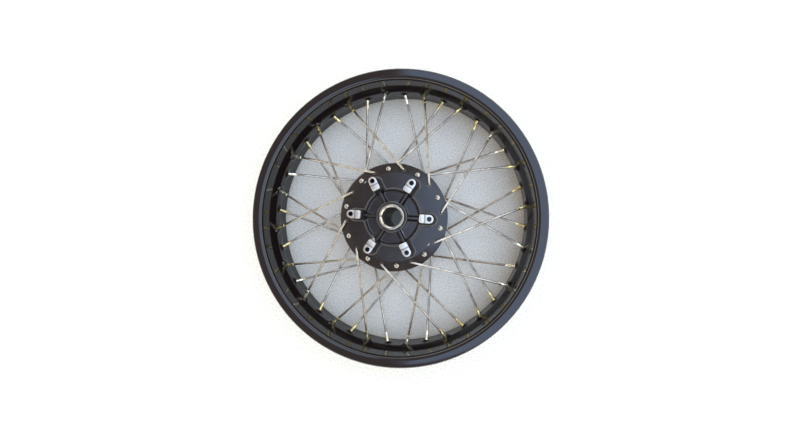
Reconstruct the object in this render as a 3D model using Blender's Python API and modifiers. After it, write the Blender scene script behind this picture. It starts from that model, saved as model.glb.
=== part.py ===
"""Motorcycle wheel with wire spokes, lying on its plain side with the brake side up.

Metres, +Z up. The origin is on the wheel's axis, in the plane of the rim edge that the wheel lies on.
Heights below are measured from the middle plane of the rim, which is RIM_HALF_WIDTH above the origin.
"""

from math import cos, pi, radians, sin

import bmesh
import bpy
from mathutils import Matrix, Vector

# Rim
RIM_RADIUS = 0.2325
RIM_HALF_WIDTH = 0.045
RIM_SEGMENTS = 80
WELL_HUB_SIDE = 0.2093
WELL_WALL = 0.0030
WELL_HALF_WIDTH = 0.0073
SHOULDER_INSIDE = 0.2153
SHOULDER_HEIGHT = 0.0206
EDGE_INSIDE = 0.2149
EDGE_ROUNDING = 0.0050
EDGE_CHAMFER = 0.0023
BEAD_SEAT = 0.2188
BEAD_SEAT_TAPER = 0.0005
FLANGE_WALL = 0.0060
FLANGE_FOOT = 0.0025

# Lacing: each set is ten spokes, 36 degrees apart, and each spoke runs 36 degrees round to the rim
SPOKES_PER_SET = 10
SPOKE_PITCH = 360 / SPOKES_PER_SET
LACING_TURN = 36.0
SPOKE_CIRCLE = 0.076
SPOKE_RADIUS = 0.00180
BEND = 0.0020
BEND_STEPS = 2
HEAD_RADIUS = 0.0037
HEAD_HEIGHT = 0.0022
NIPPLE_ROW = 0.0045
NIPPLE_BODY_RADIUS = 0.0028
NIPPLE_INWARD = 0.0165
NIPPLE_HEAD_RADIUS = 0.0042
NIPPLE_HEAD_HEIGHT = 0.0025
NIPPLE_HEAD_LIFT = 0.0020
NIPPLE_HOLE_RADIUS = 0.00325
NIPPLE_HOLE_REACH = 0.0080
NIPPLE_HOLE_LENGTH = 0.0200
SPOKE_SIDES = 6
HEAD_TAPER = 0.7
NIPPLE_HEAD_TAPER = 0.8
HEAD_LAP = 0.0001

# Hub casting
FLANGE_RADIUS = 0.0856
FLANGE_TOP = 0.0385
FLANGE_BOTTOM = 0.0334
FLANGE_EDGE_TOP = 0.0340
FLANGE_EDGE_BOTTOM = 0.0306
CONE_START = 0.0700
SPOKE_HOLE_RADIUS = 0.0025
BARREL_RADIUS = 0.0310
BARREL_INSIDE = 0.0240
DRUM_RADIUS = 0.0450
DRUM_WALL = 0.0030
DRUM_DRAFT = 0.0008
DRUM_TOP = 0.0430
FAR_DRUM_TOP = -0.0410
BARREL_FILLET = 0.0060
BOSS_RADIUS = 0.0237
BOSS_CHAMFER = 0.0012
BOSS_END = 0.0500
FAR_BOSS_END = -0.0440
LUG_COUNT = 6
LUG_PHASE = -4.5
LUG_CIRCLE = 0.0588
LUG_INNER_END = 0.0440
LUG_HALF_WIDTH = 0.0062
LUG_CORNER = 0.0015
LUG_TOP = 0.0700
LUG_STEP = 0.0015
LUG_STEP_END = 0.0512
LUG_FOOT = 0.0022
LUG_FOOT_RISE = 0.0030
LUG_HOLE_RADIUS = 0.0034
LUG_HOLE_DEPTH = 0.0220
LUG_HOLE_SIDES = 8
RIB_WIDTH = 0.0044
RIB_START = 0.0222
RIB_TOP = 0.0480
SUNK = 0.0015  # how deep the posts and ribs reach into the flange they stand on

# Bearings, tube, collars and seals around the axle bore
AXLE_RADIUS = 0.0150
BEARING_OUTSIDE = 0.0210
BEARING_WIDTH = 0.0070
INNER_RACE_OUTSIDE = 0.0169
OUTER_RACE_INSIDE = 0.0191
BALL_RADIUS = 0.00140
BALL_COUNT = 10
BALL_SEGMENTS = 6
BALL_RINGS = 4
TRACK_SHARE = 0.85
TRACK_DIP = 0.0005
CAGE_HALF_THICKNESS = 0.0003
CAGE_HALF_HEIGHT = 0.0016
NEAR_SHOULDER = 0.0350
FAR_SHOULDER = -0.0300
SHOULDER_BORE = 0.0186
SHOULDER_THICKNESS = 0.0040
SHOULDER_SLOPE = 0.0050
TUBE_OUTSIDE = 0.0170
COLLAR_OUTSIDE = 0.0195
SEAL_HEIGHT = 0.0034
CLIP_THICKNESS = 0.0012
CLIP_INSIDE = 0.0199
CLIP_DEPTH = 0.0008
CLIP_MOUTH = 0.0056
SEAL_INSET = 0.0006
COLLAR_PROUD = 0.0005
COLLAR_EDGE = 0.0005
COLLAR_CHAMFER = 0.0016
TURNED_SEGMENTS = 24
HUB_SEGMENTS = 40

GAP = 0.0003  # between pieces that touch on the real wheel
RUNNING_GAP = 0.00005  # between a race and the collar or tube that sits on it, along the axis
MERGE = 0.00002
CUT_MARGIN = 0.002

LIFT = Matrix.Translation((0, 0, RIM_HALF_WIDTH))


def clear_scene():
    for old in list(bpy.data.objects):
        bpy.data.objects.remove(old, do_unlink=True)


def new_collection(name):
    collection = bpy.data.collections.new(name)
    bpy.context.scene.collection.children.link(collection)
    return collection


def finish(name, color, metallic, roughness):
    material = bpy.data.materials.new(name)
    material.use_nodes = True
    shader = material.node_tree.nodes["Principled BSDF"]
    shader.inputs["Base Color"].default_value = (*color, 1)
    shader.inputs["Metallic"].default_value = metallic
    shader.inputs["Roughness"].default_value = roughness
    return material


clear_scene()
PARTS = new_collection("spoked_wheel")
CUTTERS = new_collection("cutters")
BLACK_RIM = finish("black_rim", (0.012, 0.012, 0.014), 0.3, 0.22)
BLACK_HUB = finish("black_hub", (0.018, 0.017, 0.017), 0.2, 0.42)
STAINLESS = finish("stainless_spoke", (0.62, 0.60, 0.57), 1.0, 0.30)
STEEL = finish("bright_steel", (0.70, 0.69, 0.66), 1.0, 0.25)
BEARING_STEEL = finish("bearing_steel", (0.55, 0.55, 0.56), 1.0, 0.2)
CAGE_BRASS = finish("cage_brass", (0.60, 0.45, 0.20), 1.0, 0.35)
SEAL_RUBBER = finish("seal_rubber", (0.02, 0.02, 0.02), 0.0, 0.7)
SPRING_STEEL = finish("spring_steel", (0.10, 0.10, 0.11), 0.8, 0.4)


def new_part(name, mesh, material, collection=PARTS):
    part = bpy.data.objects.new(name, mesh)
    if not mesh.materials:
        mesh.materials.append(material)
    collection.objects.link(part)
    if collection == CUTTERS:
        part.hide_render = True
        part.display_type = "WIRE"
    return part


def smooth(mesh):
    mesh.shade_smooth()
    mesh.set_sharp_from_angle(angle=radians(35))


def evaluated_mesh(source):
    """The mesh of an object with its modifiers, or of a curve, with its caps welded on."""
    bpy.context.view_layer.update()
    graph = bpy.context.evaluated_depsgraph_get()
    mesh = bpy.data.meshes.new_from_object(source.evaluated_get(graph), depsgraph=graph)
    work = bmesh.new()
    work.from_mesh(mesh)
    bmesh.ops.remove_doubles(work, verts=work.verts, dist=MERGE)
    bmesh.ops.recalc_face_normals(work, faces=work.faces)
    work.to_mesh(mesh)
    work.free()
    return mesh


def baked(source, name):
    """A plain object with the evaluated mesh of source, which is removed."""
    result = bpy.data.objects.new(name, evaluated_mesh(source))
    result.matrix_world = source.matrix_world.copy()
    bpy.data.objects.remove(source, do_unlink=True)
    return result


def turned(name, profile, material, segments=TURNED_SEGMENTS, phase=0.0, collection=PARTS):
    """A closed profile of (radius, height) turned about Z. Its outer side runs top to bottom."""
    mesh = bpy.data.meshes.new(name)
    count = len(profile)
    edges = [(i, (i + 1) % count) for i in range(count)]
    mesh.from_pydata([(r, 0, h) for r, h in profile], edges, [])
    part = new_part(name, mesh, material, collection)
    part.matrix_world = LIFT @ Matrix.Rotation(radians(phase), 4, "Z")
    screw = part.modifiers.new("turn", "SCREW")
    screw.axis = "Z"
    screw.steps = segments
    screw.render_steps = segments
    screw.use_merge_vertices = True
    screw.merge_threshold = MERGE
    part.data = evaluated_mesh(part)
    part.modifiers.clear()
    smooth(part.data)
    return part


def flat_shape(name, outline, low, high):
    """A flat outline of (x, y) raised from low to high."""
    curve = bpy.data.curves.new(name, "CURVE")
    curve.dimensions = "2D"
    curve.fill_mode = "BOTH"
    curve.extrude = (high - low) / 2
    line = curve.splines.new("POLY")
    line.points.add(len(outline) - 1)
    for point, (x, y) in zip(line.points, outline):
        point.co = (x, y, 0, 1)
    line.use_cyclic_u = True
    shape = bpy.data.objects.new(name, curve)
    CUTTERS.objects.link(shape)
    shape.matrix_world = Matrix.Translation((0, 0, (low + high) / 2))
    solid = baked(shape, name)
    solid.data.transform(solid.matrix_world)
    solid.matrix_world = Matrix.Identity(4)
    return solid


def helper(part):
    CUTTERS.objects.link(part)
    part.hide_render = True
    part.display_type = "WIRE"
    return part


def rod(name, start, direction, length, radius, sides, tip_radius=None):
    """A round rod from start along direction, as a mesh object."""
    work = bmesh.new()
    bmesh.ops.create_cone(
        work,
        cap_ends=True,
        segments=sides,
        radius1=radius,
        radius2=radius if tip_radius is None else tip_radius,
        depth=length,
    )
    turn = direction.to_track_quat("Z", "Y").to_matrix().to_4x4()
    place = Matrix.Translation(start + direction * length / 2) @ turn
    bmesh.ops.transform(work, matrix=place, verts=work.verts)
    mesh = bpy.data.meshes.new(name)
    work.to_mesh(mesh)
    work.free()
    return bpy.data.objects.new(name, mesh)


def copies(source, name, angles):
    """One mesh object with a copy of source at each angle, in degrees about Z. The source is removed."""
    work = bmesh.new()
    for angle in angles:
        before = len(work.verts)
        work.from_mesh(source.data)
        work.verts.ensure_lookup_table()
        turn = Matrix.Rotation(radians(angle), 4, "Z")
        bmesh.ops.transform(work, matrix=turn, verts=work.verts[before:])
    mesh = bpy.data.meshes.new(name)
    work.to_mesh(mesh)
    work.free()
    bpy.data.objects.remove(source, do_unlink=True)
    return bpy.data.objects.new(name, mesh)


def boolean(part, operation, other):
    change = part.modifiers.new(operation.lower(), "BOOLEAN")
    change.operation = operation
    change.solver = "EXACT"
    change.object = other


def polar(radius, angle, height=0.0):
    return Vector((radius * cos(radians(angle)), radius * sin(radians(angle)), height))


class SpokeSet:
    """Ten like spokes: which flange they leave, which side of it, and which way they run."""

    def __init__(self, name, side, outside, hub_angle, turn):
        self.name = name
        self.side = side
        self.hub_angle = hub_angle
        self.rim_angle = turn
        across = FLANGE_RADIUS - CONE_START
        top_slope = (FLANGE_TOP - FLANGE_EDGE_TOP) / across
        bottom_slope = (FLANGE_BOTTOM - FLANGE_EDGE_BOTTOM) / across
        top = FLANGE_TOP - top_slope * (SPOKE_CIRCLE - CONE_START)
        bottom = FLANGE_BOTTOM - bottom_slope * (SPOKE_CIRCLE - CONE_START)
        lay = GAP + SPOKE_RADIUS + SPOKE_HOLE_RADIUS * top_slope
        if outside:
            self.run_height = side * (top + lay)
            self.head_height = side * (bottom - GAP - HEAD_RADIUS * bottom_slope - HEAD_HEIGHT)
        else:
            self.run_height = side * (bottom - lay)
            self.head_height = side * (top + GAP + HEAD_RADIUS * top_slope + HEAD_HEIGHT)
        self.towards_head = 1 if self.head_height > self.run_height else -1
        elbow = polar(SPOKE_CIRCLE, 0, self.run_height)
        seat = polar(WELL_HUB_SIDE, turn, side * NIPPLE_ROW)
        self.direction = (seat - elbow).normalized()
        self.seat = seat
        self.elbow = elbow


def spoke_mesh(spokes):
    """The wire with its elbow, its head and its nipple, as one solid about hub angle zero."""
    head = Vector((SPOKE_CIRCLE, 0, spokes.head_height))
    points = [head]
    up = Vector((0, 0, spokes.towards_head))
    for step in range(BEND_STEPS + 1):
        t = step / BEND_STEPS
        before = spokes.elbow + up * BEND
        after = spokes.elbow + spokes.direction * BEND
        points.append(before * (1 - t) ** 2 + spokes.elbow * (2 * t * (1 - t)) + after * t**2)
    points.append(spokes.seat)
    curve = bpy.data.curves.new(spokes.name, "CURVE")
    curve.dimensions = "3D"
    curve.bevel_depth = SPOKE_RADIUS
    curve.bevel_resolution = 1
    curve.use_fill_caps = True
    line = curve.splines.new("POLY")
    line.points.add(len(points) - 1)
    for point, place in zip(line.points, points):
        point.co = (*place, 1)
    wire_curve = bpy.data.objects.new(spokes.name, curve)
    CUTTERS.objects.link(wire_curve)
    wire = helper(baked(wire_curve, spokes.name + "_wire"))

    down = -up
    start = head + up * HEAD_LAP
    forged = rod(
        spokes.name + "_head", start, down, HEAD_HEIGHT, HEAD_RADIUS * HEAD_TAPER, SPOKE_SIDES, HEAD_RADIUS,
    )
    forged = helper(forged)
    outward = spokes.direction
    body_start = spokes.seat - outward * NIPPLE_INWARD
    body_length = NIPPLE_INWARD + WELL_WALL + NIPPLE_HEAD_LIFT + NIPPLE_HEAD_HEIGHT / 2
    body = rod(spokes.name + "_body", body_start, outward, body_length, NIPPLE_BODY_RADIUS, SPOKE_SIDES)
    body = helper(body)
    cap_start = spokes.seat + outward * (WELL_WALL + NIPPLE_HEAD_LIFT)
    cap = rod(
        spokes.name + "_cap", cap_start, outward, NIPPLE_HEAD_HEIGHT, NIPPLE_HEAD_RADIUS, SPOKE_SIDES,
        NIPPLE_HEAD_RADIUS * NIPPLE_HEAD_TAPER,
    )
    cap = helper(cap)
    for other in (forged, body, cap):
        boolean(wire, "UNION", other)
    whole = baked(wire, spokes.name + "_whole")
    for other in (forged, body, cap):
        bpy.data.objects.remove(other, do_unlink=True)
    mesh = whole.data
    bpy.data.objects.remove(whole, do_unlink=True)
    smooth(mesh)
    return mesh


SPOKE_SETS = [
    SpokeSet("near_outer", 1, True, 4.5, LACING_TURN),
    SpokeSet("near_inner", 1, False, 22.5, -LACING_TURN),
    SpokeSet("far_outer", -1, True, 13.5, LACING_TURN),
    SpokeSet("far_inner", -1, False, 31.5, -LACING_TURN),
]


def make_spokes():
    for spokes in SPOKE_SETS:
        mesh = spoke_mesh(spokes)
        for number in range(SPOKES_PER_SET):
            part = new_part(f"spoke_{spokes.name}_{number + 1:02d}", mesh, STAINLESS)
            angle = spokes.hub_angle + number * SPOKE_PITCH
            part.matrix_world = LIFT @ Matrix.Rotation(radians(angle), 4, "Z")


def set_angles(spokes):
    return [spokes.hub_angle + number * SPOKE_PITCH for number in range(SPOKES_PER_SET)]


def make_rim():
    tip = RIM_RADIUS
    face = RIM_HALF_WIDTH
    floor = WELL_HUB_SIDE + WELL_WALL
    under_flange = face - FLANGE_WALL
    tyre_side = [
        (tip - EDGE_CHAMFER, under_flange),
        (BEAD_SEAT + FLANGE_FOOT, under_flange - FLANGE_FOOT / 2),
        (BEAD_SEAT, under_flange - FLANGE_FOOT),
        (BEAD_SEAT - BEAD_SEAT_TAPER, SHOULDER_HEIGHT + WELL_WALL / 3),
        (floor, WELL_HALF_WIDTH + WELL_WALL / 3),
    ]
    hub_side = [
        (WELL_HUB_SIDE, WELL_HALF_WIDTH),
        (SHOULDER_INSIDE, SHOULDER_HEIGHT),
        (EDGE_INSIDE, face - EDGE_ROUNDING),
        (EDGE_INSIDE + EDGE_ROUNDING / 3, face - EDGE_ROUNDING / 3),
        (EDGE_INSIDE + EDGE_ROUNDING, face),
        (tip - EDGE_CHAMFER, face),
        (tip, face - EDGE_CHAMFER),
    ]
    near = hub_side + tyre_side
    # Down the tyre side of both halves, then up the hub side of both.
    outer = near[len(hub_side) - 3 :]
    outer += [(r, -h) for r, h in reversed(outer)]
    inner = [(r, -h) for r, h in reversed(hub_side[:-3])]
    inner += hub_side[:-3]
    rim = turned("rim", outer + inner, BLACK_RIM, RIM_SEGMENTS, 180 / RIM_SEGMENTS)
    work = bmesh.new()
    for spokes in SPOKE_SETS:
        way = spokes.direction
        start = spokes.seat - way * NIPPLE_HOLE_REACH
        hole = rod("hole", start, way, NIPPLE_HOLE_LENGTH, NIPPLE_HOLE_RADIUS, SPOKE_SIDES)
        ring = copies(hole, "holes", set_angles(spokes))
        work.from_mesh(ring.data)
        bpy.data.objects.remove(ring, do_unlink=True)
    mesh = bpy.data.meshes.new("nipple_holes")
    work.to_mesh(mesh)
    work.free()
    holes = new_part("nipple_holes", mesh, BLACK_RIM, CUTTERS)
    holes.matrix_world = LIFT
    boolean(rim, "DIFFERENCE", holes)


def hub_profile():
    """One flange side at a time: from the brake side's boss end down the outside, then up the bore."""
    outside = [
        (BOSS_RADIUS - BOSS_CHAMFER, BOSS_END),
        (BOSS_RADIUS, BOSS_END - BOSS_CHAMFER),
        (BOSS_RADIUS, FLANGE_TOP),
        (DRUM_RADIUS - DRUM_WALL, FLANGE_TOP),
        (DRUM_RADIUS - DRUM_WALL, DRUM_TOP),
        (DRUM_RADIUS, DRUM_TOP),
        (DRUM_RADIUS + DRUM_DRAFT, FLANGE_TOP),
        (CONE_START, FLANGE_TOP),
        (FLANGE_RADIUS, FLANGE_EDGE_TOP),
        (FLANGE_RADIUS, FLANGE_EDGE_BOTTOM),
        (CONE_START, FLANGE_BOTTOM),
        (BARREL_RADIUS + BARREL_FILLET, FLANGE_BOTTOM),
        (BARREL_RADIUS, FLANGE_BOTTOM - BARREL_FILLET),
        (BARREL_RADIUS, BARREL_FILLET - FLANGE_BOTTOM),
        (BARREL_RADIUS + BARREL_FILLET, -FLANGE_BOTTOM),
        (CONE_START, -FLANGE_BOTTOM),
        (FLANGE_RADIUS, -FLANGE_EDGE_BOTTOM),
        (FLANGE_RADIUS, -FLANGE_EDGE_TOP),
        (CONE_START, -FLANGE_TOP),
        (DRUM_RADIUS, -FLANGE_TOP),
        (DRUM_RADIUS, FAR_DRUM_TOP),
        (DRUM_RADIUS - DRUM_WALL, FAR_DRUM_TOP),
        (DRUM_RADIUS - DRUM_WALL, -FLANGE_TOP),
        (BOSS_RADIUS, -FLANGE_TOP),
        (BOSS_RADIUS, FAR_BOSS_END),
    ]
    seat = BEARING_OUTSIDE + GAP
    groove = seat + CLIP_DEPTH
    clip_low = NEAR_SHOULDER + GAP + BEARING_WIDTH + GAP
    clip_high = clip_low + CLIP_THICKNESS + GAP
    bore = [
        (seat, FAR_BOSS_END),
        (seat, FAR_SHOULDER),
        (SHOULDER_BORE, FAR_SHOULDER),
        (SHOULDER_BORE, FAR_SHOULDER + SHOULDER_THICKNESS),
        (BARREL_INSIDE, FAR_SHOULDER + SHOULDER_THICKNESS + SHOULDER_SLOPE),
        (BARREL_INSIDE, NEAR_SHOULDER - SHOULDER_THICKNESS - SHOULDER_SLOPE),
        (SHOULDER_BORE, NEAR_SHOULDER - SHOULDER_THICKNESS),
        (SHOULDER_BORE, NEAR_SHOULDER),
        (seat, NEAR_SHOULDER),
        (seat, clip_low),
        (groove, clip_low),
        (groove, clip_high),
        (seat, clip_high),
        (seat, BOSS_END),
    ]
    return outside + bore


def lug_outline(grow, straight_end=None, outer_arc=6):
    """A post seen from its top: a squared inner end, and a round outer end or a straight cut."""
    half = LUG_HALF_WIDTH + grow
    back = LUG_INNER_END - grow
    points = [(back + LUG_CORNER, half), (back, half - LUG_CORNER)]
    points += [(x, -y) for x, y in reversed(points)]
    if straight_end:
        return points + [(straight_end, -half), (straight_end, half)]
    for step in range(outer_arc + 1):
        angle = -pi / 2 + pi * step / outer_arc
        points.append((LUG_CIRCLE + half * cos(angle), half * sin(angle)))
    return points


def make_hub():
    hub = turned("hub", hub_profile(), BLACK_HUB, HUB_SEGMENTS)
    angles = [LUG_PHASE + number * 360 / LUG_COUNT for number in range(LUG_COUNT)]
    pieces = [
        ("lug_foot", lug_outline(LUG_FOOT), FLANGE_TOP - SUNK * 0.6, FLANGE_TOP + LUG_FOOT_RISE),
        ("lug_post", lug_outline(0), FLANGE_TOP - SUNK, LUG_TOP),
        ("lug_step", lug_outline(-GAP, LUG_STEP_END), LUG_TOP - SUNK, LUG_TOP + LUG_STEP),
    ]
    half = RIB_WIDTH / 2
    rib_end = LUG_INNER_END + RIB_WIDTH / 2
    rib = [(RIB_START, -half), (rib_end, -half), (rib_end, half), (RIB_START, half)]
    pieces.append(("rib", rib, FLANGE_TOP - SUNK * 0.8, RIB_TOP))
    for name, outline, low, high in pieces:
        ring = helper(copies(flat_shape(name, outline, low, high), name + "s", angles))
        ring.matrix_world = LIFT
        boolean(hub, "UNION", ring)

    mouth = Vector((LUG_CIRCLE, 0, LUG_TOP + CUT_MARGIN))
    down = Vector((0, 0, -1))
    tapped = rod("tapped", mouth, down, LUG_HOLE_DEPTH + CUT_MARGIN, LUG_HOLE_RADIUS, LUG_HOLE_SIDES)
    holes = helper(copies(tapped, "tapped_holes", angles))
    holes.matrix_world = LIFT
    boolean(hub, "DIFFERENCE", holes)
    for side, label in ((1, "near"), (-1, "far")):
        span = FLANGE_TOP - FLANGE_EDGE_BOTTOM + 2 * CUT_MARGIN
        start = Vector((SPOKE_CIRCLE, 0, side * (FLANGE_EDGE_BOTTOM - CUT_MARGIN)))
        drilled = rod("drilled", start, Vector((0, 0, side)), span, SPOKE_HOLE_RADIUS, SPOKE_SIDES)
        angles_here = [angle for s in SPOKE_SETS if s.side == side for angle in set_angles(s)]
        drill = helper(copies(drilled, label + "_spoke_holes", angles_here))
        drill.matrix_world = LIFT
        boolean(hub, "DIFFERENCE", drill)


def ring(name, inside, outside, low, high, material):
    """A plain turned ring."""
    profile = [(outside, high), (outside, low), (inside, low), (inside, high)]
    return turned(name, profile, material)


def make_bearing(label, low):
    """One ball bearing that stands on its shoulder from height low."""
    middle = low + BEARING_WIDTH / 2
    high = low + BEARING_WIDTH
    track = BALL_RADIUS * TRACK_SHARE
    turned(
        f"bearing_outer_race_{label}",
        [
            (BEARING_OUTSIDE, high), (BEARING_OUTSIDE, low), (OUTER_RACE_INSIDE, low),
            (OUTER_RACE_INSIDE, middle - track), (OUTER_RACE_INSIDE + TRACK_DIP, middle),
            (OUTER_RACE_INSIDE, middle + track), (OUTER_RACE_INSIDE, high),
        ],
        BEARING_STEEL,
    )
    turned(
        f"bearing_inner_race_{label}",
        [
            (INNER_RACE_OUTSIDE, high), (INNER_RACE_OUTSIDE, middle + track),
            (INNER_RACE_OUTSIDE - TRACK_DIP, middle), (INNER_RACE_OUTSIDE, middle - track),
            (INNER_RACE_OUTSIDE, low), (AXLE_RADIUS, low), (AXLE_RADIUS, high),
        ],
        BEARING_STEEL,
    )
    circle = (INNER_RACE_OUTSIDE + OUTER_RACE_INSIDE) / 2
    inside = circle - CAGE_HALF_THICKNESS
    outside = circle + CAGE_HALF_THICKNESS
    cage_profile = [
        (outside, middle + CAGE_HALF_HEIGHT), (outside, middle - CAGE_HALF_HEIGHT),
        (inside, middle - CAGE_HALF_HEIGHT), (inside, middle + CAGE_HALF_HEIGHT),
    ]
    cage = turned(f"bearing_cage_{label}", cage_profile, CAGE_BRASS)
    work = bmesh.new()
    for number in range(BALL_COUNT):
        place = Matrix.Translation(polar(circle, number * 360 / BALL_COUNT, middle))
        bmesh.ops.create_uvsphere(
            work, u_segments=BALL_SEGMENTS, v_segments=BALL_RINGS, radius=BALL_RADIUS, matrix=place,
        )
    mesh = bpy.data.meshes.new("balls")
    work.to_mesh(mesh)
    work.free()
    balls = new_part(f"balls_{label}", mesh, CAGE_BRASS, CUTTERS)
    balls.matrix_world = LIFT
    boolean(cage, "UNION", balls)


def make_axle_fittings():
    near_low = NEAR_SHOULDER + GAP
    near_high = near_low + BEARING_WIDTH
    far_high = FAR_SHOULDER - GAP
    far_low = far_high - BEARING_WIDTH
    make_bearing("near", near_low)
    make_bearing("far", far_low)
    ring("distance_tube", AXLE_RADIUS, TUBE_OUTSIDE, far_high + GAP, near_low - GAP, STEEL)

    clip_low = near_high + GAP
    clip_outside = BEARING_OUTSIDE + CLIP_DEPTH
    open_clip = turned(
        "circlip",
        [
            (clip_outside, clip_low + CLIP_THICKNESS), (clip_outside, clip_low + RUNNING_GAP),
            (CLIP_INSIDE, clip_low + RUNNING_GAP), (CLIP_INSIDE, clip_low + CLIP_THICKNESS),
        ],
        SPRING_STEEL,
    )
    half = CLIP_MOUTH / 2
    mouth = [(AXLE_RADIUS, -half), (DRUM_RADIUS, -half), (DRUM_RADIUS, half), (AXLE_RADIUS, half)]
    cut = helper(flat_shape("circlip_mouth", mouth, clip_low - CUT_MARGIN, clip_low + 2 * CUT_MARGIN))
    cut.matrix_world = LIFT @ Matrix.Rotation(radians(90), 4, "Z")
    boolean(open_clip, "DIFFERENCE", cut)

    seal_top = BOSS_END - SEAL_INSET
    ring("seal_near", COLLAR_OUTSIDE + GAP, BEARING_OUTSIDE, seal_top - SEAL_HEIGHT, seal_top, SEAL_RUBBER)
    seal_bottom = FAR_BOSS_END + SEAL_INSET
    seal_inside = COLLAR_OUTSIDE + GAP
    ring("seal_far", seal_inside, BEARING_OUTSIDE, seal_bottom, seal_bottom + SEAL_HEIGHT, SEAL_RUBBER)

    foot = INNER_RACE_OUTSIDE - GAP
    chamfer = COLLAR_CHAMFER
    near_end = BOSS_END + COLLAR_PROUD
    waist = seal_top - SEAL_HEIGHT - SEAL_INSET
    turned(
        "collar_near",
        [
            (COLLAR_OUTSIDE - COLLAR_EDGE, near_end), (COLLAR_OUTSIDE, near_end - COLLAR_EDGE),
            (COLLAR_OUTSIDE, waist), (foot, waist), (foot, near_high + GAP),
            (AXLE_RADIUS, near_high + GAP), (AXLE_RADIUS, near_end - chamfer),
            (AXLE_RADIUS + chamfer, near_end),
        ],
        STEEL,
    )
    far_end = FAR_BOSS_END - COLLAR_PROUD
    far_waist = seal_bottom + SEAL_HEIGHT + SEAL_INSET
    turned(
        "collar_far",
        [
            (foot, far_low - GAP), (foot, far_waist), (COLLAR_OUTSIDE, far_waist),
            (COLLAR_OUTSIDE, far_end + COLLAR_EDGE), (COLLAR_OUTSIDE - COLLAR_EDGE, far_end),
            (AXLE_RADIUS + chamfer, far_end), (AXLE_RADIUS, far_end + chamfer),
            (AXLE_RADIUS, far_low - GAP),
        ],
        STEEL,
    )


make_rim()
make_hub()
make_spokes()
make_axle_fittings()
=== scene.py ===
"""The looks of a spoked motorcycle wheel, lying on its plain side with the brake side up.

Everything is in metres. Heights of wheel pieces are counted from the rim's middle plane.
"""

from math import atan2, ceil, cos, degrees, pi, radians, sin, tan

import bmesh
import bpy
from mathutils import Matrix, Vector


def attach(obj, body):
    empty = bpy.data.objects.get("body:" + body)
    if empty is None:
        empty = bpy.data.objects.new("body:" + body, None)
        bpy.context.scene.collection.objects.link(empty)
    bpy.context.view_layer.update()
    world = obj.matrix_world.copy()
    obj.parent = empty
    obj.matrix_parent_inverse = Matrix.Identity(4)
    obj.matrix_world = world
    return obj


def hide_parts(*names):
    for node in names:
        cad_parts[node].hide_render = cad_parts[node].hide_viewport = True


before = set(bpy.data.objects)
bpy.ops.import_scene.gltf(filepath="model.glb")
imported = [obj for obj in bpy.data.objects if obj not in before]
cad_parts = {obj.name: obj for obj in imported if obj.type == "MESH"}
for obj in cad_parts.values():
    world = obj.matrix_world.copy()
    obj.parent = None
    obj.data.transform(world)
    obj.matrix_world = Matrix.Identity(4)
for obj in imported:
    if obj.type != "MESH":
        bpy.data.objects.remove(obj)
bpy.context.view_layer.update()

# ---- The place it is seen from ------------------------------------------------------------------
# The camera looks almost straight down on the wheel from a little to the right of its middle,
# from so near that the upper edge of the rim looks clearly larger than the lower one.
CAMERA_PLACE = Vector((0.0823, -0.0148, 0.6064))
CAMERA_AIM = Vector((-0.1338, 0.0221, -0.9908))
CAMERA_UP = Vector((0.0093, 0.9998, 0.0195))
CAMERA_LENS = 15.24
CAMERA_SENSOR = 36.0
CAMERA_NEAREST = 0.01

camera_data = bpy.data.cameras.new("camera")
camera_data.lens = CAMERA_LENS
camera_data.sensor_width = CAMERA_SENSOR
camera_data.clip_start = CAMERA_NEAREST
camera = bpy.data.objects.new("camera", camera_data)
bpy.context.scene.collection.objects.link(camera)
right = CAMERA_AIM.cross(CAMERA_UP).normalized()
turn = Matrix((right, right.cross(CAMERA_AIM).normalized(), -CAMERA_AIM.normalized())).transposed()
camera.matrix_world = Matrix.Translation(CAMERA_PLACE) @ turn.to_4x4()
bpy.context.scene.camera = camera
bpy.context.scene.view_settings.view_transform = "Standard"

# ---- Studio light -------------------------------------------------------------------------------
# A bright band of light stands all round near the floor, a dimmer warm ceiling closes the room,
# and one wide cool window in the ceiling, to the right, gives the black paint its blue sheen.
BAND_LIGHT = (3.7, 3.75, 3.65, 1)
CEILING_LIGHT = (0.62, 0.50, 0.47, 1)
BAND_TOP = 0.42
CEILING_FOOT = 0.62
WINDOW_SIZE = (3.4, 3.7)
WINDOW_PLACE = (1.35, 0.25, 3.1)
WINDOW_COLOUR = (0.45, 0.66, 1.0)
WINDOW_POWER = 112.0


def add(tree, kind, inputs=None, **settings):
    """A new node with its inputs set by name and its other settings by keyword."""
    node = tree.nodes.new(kind)
    for name, value in settings.items():
        setattr(node, name, value)
    for name, value in (inputs or {}).items():
        node.inputs[name].default_value = value
    return node


room = bpy.data.worlds.new("room")
bpy.context.scene.world = room
room.use_nodes = True
sky = room.node_tree
sky.nodes.clear()
way = add(sky, "ShaderNodeTexCoord")
height = add(sky, "ShaderNodeSeparateXYZ")
ramp = add(sky, "ShaderNodeMapRange", {"From Min": BAND_TOP, "From Max": CEILING_FOOT})
ramp.interpolation_type = "SMOOTHSTEP"
tone = add(sky, "ShaderNodeMix", data_type="RGBA")
tone.inputs[6].default_value = BAND_LIGHT
tone.inputs[7].default_value = CEILING_LIGHT
glow = add(sky, "ShaderNodeBackground")
out = add(sky, "ShaderNodeOutputWorld")
sky.links.new(way.outputs["Generated"], height.inputs[0])
sky.links.new(height.outputs["Z"], ramp.inputs["Value"])
sky.links.new(ramp.outputs["Result"], tone.inputs[0])
sky.links.new(tone.outputs[2], glow.inputs["Color"])
sky.links.new(glow.outputs[0], out.inputs["Surface"])

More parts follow.
